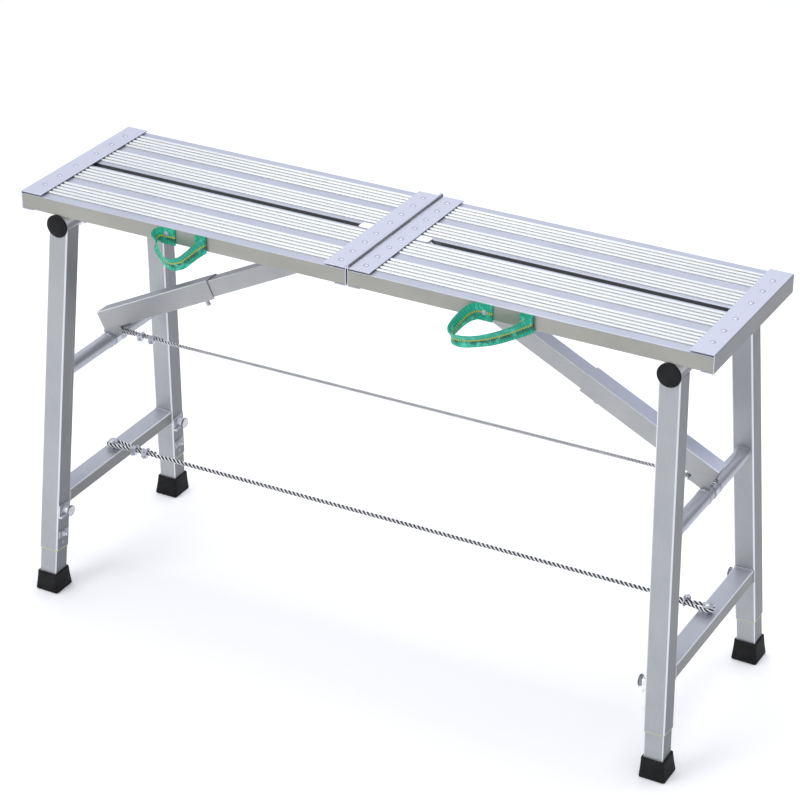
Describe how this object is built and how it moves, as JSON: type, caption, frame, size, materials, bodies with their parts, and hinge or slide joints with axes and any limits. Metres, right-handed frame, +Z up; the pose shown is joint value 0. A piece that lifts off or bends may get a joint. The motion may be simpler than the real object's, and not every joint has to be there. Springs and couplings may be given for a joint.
{
  "type": "folding work platform bench",
  "caption": "Folding aluminium work platform with a ribbed deck in hinged halves, folding telescopic legs, diagonal braces, wire ropes and carrying straps.",
  "frame": {"origin": "on the floor under the middle of the deck", "axes": "+X along the deck, +Y across it to the rear (the straps are on the front, -Y), +Z up"},
  "size_m": [1.17, 0.4074, 0.7028],
  "materials": {
    "deck_alu": "satin, extruded",
    "channel_alu": "satin sheet",
    "leg_alu": "satin tube",
    "brace_alu": "satin channel",
    "hinge_steel": "brushed",
    "rivet_alu": "polished",
    "zinc_steel": "zinc plated",
    "pin_chrome": "bright",
    "cap_plastic": "matte",
    "foot_rubber": "matte",
    "rope_steel": "twisted strands",
    "strap_web": "woven"
  },
  "bodies": {
    "left_deck": {"left_front_plank": "deck_alu", "left_rear_plank": "deck_alu", "left_end_channel": "channel_alu", "left_hinge_channel": "channel_alu", "hinge_pin": "hinge_steel", "left_deck_rivets": "rivet_alu", "left_tube_saddles": "zinc_steel", "left_brace_bracket": "zinc_steel", "left_brace_pin": "pin_chrome", "left_strap": "strap_web"},
    "right_deck": {"right_front_plank": "deck_alu", "right_rear_plank": "deck_alu", "right_end_channel": "channel_alu", "right_hinge_channel": "channel_alu", "right_deck_rivets": "rivet_alu", "right_tube_saddles": "zinc_steel", "right_brace_bracket": "zinc_steel", "right_brace_pin": "pin_chrome", "right_strap": "strap_web"},
    "left_leg_frame": {"left_pivot_tube": "leg_alu", "left_tube_caps": "cap_plastic", "left_front_leg": "leg_alu", "left_rear_leg": "leg_alu", "left_cross_tube": "leg_alu", "left_lower_rail": "leg_alu", "left_lock_plates": "pin_chrome", "left_rope_bolt": "zinc_steel"},
    "left_front_telescope": {"left_front_extension": "leg_alu", "left_front_foot": "foot_rubber"},
    "left_front_pin": {"left_front_pull_pin": "pin_chrome"},
    "left_rear_telescope": {"left_rear_extension": "leg_alu", "left_rear_foot": "foot_rubber"},
    "left_rear_pin": {"left_rear_pull_pin": "pin_chrome"},
    "left_upper_brace": {"left_brace_upper": "brace_alu"},
    "left_lower_brace": {"left_brace_lower": "brace_alu"},
    "left_plunger": {"left_brace_plunger": "pin_chrome"},
    "left_upper_rope_end": {"left_upper_rope_fittings": "zinc_steel", "upper_rope": "rope_steel"},
    "left_lower_rope_end": {"left_lower_clips": "zinc_steel", "lower_rope": "rope_steel"},
    "right_leg_frame": {"right_pivot_tube": "leg_alu", "right_tube_caps": "cap_plastic", "right_front_leg": "leg_alu", "right_rear_leg": "leg_alu", "right_cross_tube": "leg_alu", "right_lower_rail": "leg_alu", "right_lock_plates": "pin_chrome", "right_rope_bolt": "zinc_steel"},
    "right_front_telescope": {"right_front_extension": "leg_alu", "right_front_foot": "foot_rubber"},
    "right_front_pin": {"right_front_pull_pin": "pin_chrome"},
    "right_rear_telescope": {"right_rear_extension": "leg_alu", "right_rear_foot": "foot_rubber"},
    "right_rear_pin": {"right_rear_pull_pin": "pin_chrome"},
    "right_upper_brace": {"right_brace_upper": "brace_alu"},
    "right_lower_brace": {"right_brace_lower": "brace_alu"},
    "right_plunger": {"right_brace_plunger": "pin_chrome"},
    "right_upper_rope_end": {"right_upper_rope_fittings": "zinc_steel"},
    "right_lower_rope_end": {"right_lower_clips": "zinc_steel"}
  },
  "joints": [
    {"name": "deck_fold", "type": "hinge", "parent": "left_deck", "child": "right_deck", "pos_m": [0, 0, 0.6996], "axis": [0, -1, 0], "range_deg": [0, 180], "deforming": ["upper_rope", "lower_rope"]},
    {"name": "left_leg_fold", "type": "hinge", "parent": "left_deck", "child": "left_leg_frame", "pos_m": [-0.5192, 0, 0.651], "axis": [0, -1, 0], "range_deg": [0, 85]},
    {"name": "left_brace_fold", "type": "hinge", "parent": "left_deck", "child": "left_upper_brace", "pos_m": [-0.082, 0.002, 0.654], "axis": [0, 1, 0], "range_deg": [0, 26.2]},
    {"name": "left_brace_slide", "type": "slide", "parent": "left_upper_brace", "child": "left_lower_brace", "axis": [0.8949, 0, 0.4462], "range_m": [0, 0.11]},
    {"name": "left_plunger_pull", "type": "slide", "parent": "left_lower_brace", "child": "left_plunger", "axis": [0.4462, 0, -0.8949], "range_m": [0, 0.006], "stiffness_N_per_m": 400},
    {"name": "left_upper_rope_swing", "type": "hinge", "parent": "left_leg_frame", "child": "left_upper_rope_end", "pos_m": [-0.5311, 0, 0.38897], "axis": [0, 1, 0], "range_deg": [0, 115]},
    {"name": "left_lower_rope_swing", "type": "hinge", "parent": "left_leg_frame", "child": "left_lower_rope_end", "pos_m": [-0.51572, 0, 0.186], "axis": [0, 1, 0], "range_deg": [0, 85]},
    {"name": "left_front_foot_slide", "type": "slide", "parent": "left_leg_frame", "child": "left_front_telescope", "axis": [-0.0452, -0.0816, -0.9956], "range_m": [-0.04, 0.16]},
    {"name": "left_front_pin_pull", "type": "slide", "parent": "left_leg_frame", "child": "left_front_pin", "axis": [0.999, 0, -0.0454], "range_m": [0, 0.008], "stiffness_N_per_m": 400},
    {"name": "left_rear_foot_slide", "type": "slide", "parent": "left_leg_frame", "child": "left_rear_telescope", "axis": [-0.0452, 0.0816, -0.9956], "range_m": [-0.04, 0.16]},
    {"name": "left_rear_pin_pull", "type": "slide", "parent": "left_leg_frame", "child": "left_rear_pin", "axis": [0.999, 0, -0.0454], "range_m": [0, 0.008], "stiffness_N_per_m": 400},
    {"name": "right_leg_fold", "type": "hinge", "parent": "right_deck", "child": "right_leg_frame", "pos_m": [0.5192, 0, 0.651], "axis": [0, 1, 0], "range_deg": [0, 85]},
    {"name": "right_brace_fold", "type": "hinge", "parent": "right_deck", "child": "right_upper_brace", "pos_m": [0.082, 0.002, 0.654], "axis": [0, -1, 0], "range_deg": [0, 26.2]},
    {"name": "right_brace_slide", "type": "slide", "parent": "right_upper_brace", "child": "right_lower_brace", "axis": [-0.8949, 0, 0.4462], "range_m": [0, 0.11]},
    {"name": "right_plunger_pull", "type": "slide", "parent": "right_lower_brace", "child": "right_plunger", "axis": [-0.4462, 0, -0.8949], "range_m": [0, 0.006], "stiffness_N_per_m": 400},
    {"name": "right_upper_rope_swing", "type": "hinge", "parent": "right_leg_frame", "child": "right_upper_rope_end", "pos_m": [0.5311, 0, 0.38897], "axis": [0, -1, 0], "range_deg": [0, 115]},
    {"name": "right_lower_rope_swing", "type": "hinge", "parent": "right_leg_frame", "child": "right_lower_rope_end", "pos_m": [0.51572, 0, 0.186], "axis": [0, -1, 0], "range_deg": [0, 85]},
    {"name": "right_front_foot_slide", "type": "slide", "parent": "right_leg_frame", "child": "right_front_telescope", "axis": [0.0452, -0.0816, -0.9956], "range_m": [-0.04, 0.16]},
    {"name": "right_front_pin_pull", "type": "slide", "parent": "right_leg_frame", "child": "right_front_pin", "axis": [-0.999, 0, -0.0454], "range_m": [0, 0.008], "stiffness_N_per_m": 400},
    {"name": "right_rear_foot_slide", "type": "slide", "parent": "right_leg_frame", "child": "right_rear_telescope", "axis": [0.0452, 0.0816, -0.9956], "range_m": [-0.04, 0.16]},
    {"name": "right_rear_pin_pull", "type": "slide", "parent": "right_leg_frame", "child": "right_rear_pin", "axis": [-0.999, 0, -0.0454], "range_m": [0, 0.008], "stiffness_N_per_m": 400}
  ],
  "couplings": [
    {"joint": "left_leg_fold", "follows": "deck_fold", "ratio": 0.47222},
    {"joint": "left_brace_fold", "follows": "deck_fold", "ratio": 0.14555},
    {"joint": "left_brace_slide", "follows": "deck_fold", "m_per_rad": 0.035013},
    {"joint": "left_upper_rope_swing", "follows": "deck_fold", "ratio": 0.63889},
    {"joint": "left_lower_rope_swing", "follows": "deck_fold", "ratio": 0.47222},
    {"joint": "right_leg_fold", "follows": "deck_fold", "ratio": 0.47222},
    {"joint": "right_brace_fold", "follows": "deck_fold", "ratio": 0.14555},
    {"joint": "right_brace_slide", "follows": "deck_fold", "m_per_rad": 0.035013},
    {"joint": "right_upper_rope_swing", "follows": "deck_fold", "ratio": 0.63889},
    {"joint": "right_lower_rope_swing", "follows": "deck_fold", "ratio": 0.47222}
  ]
}
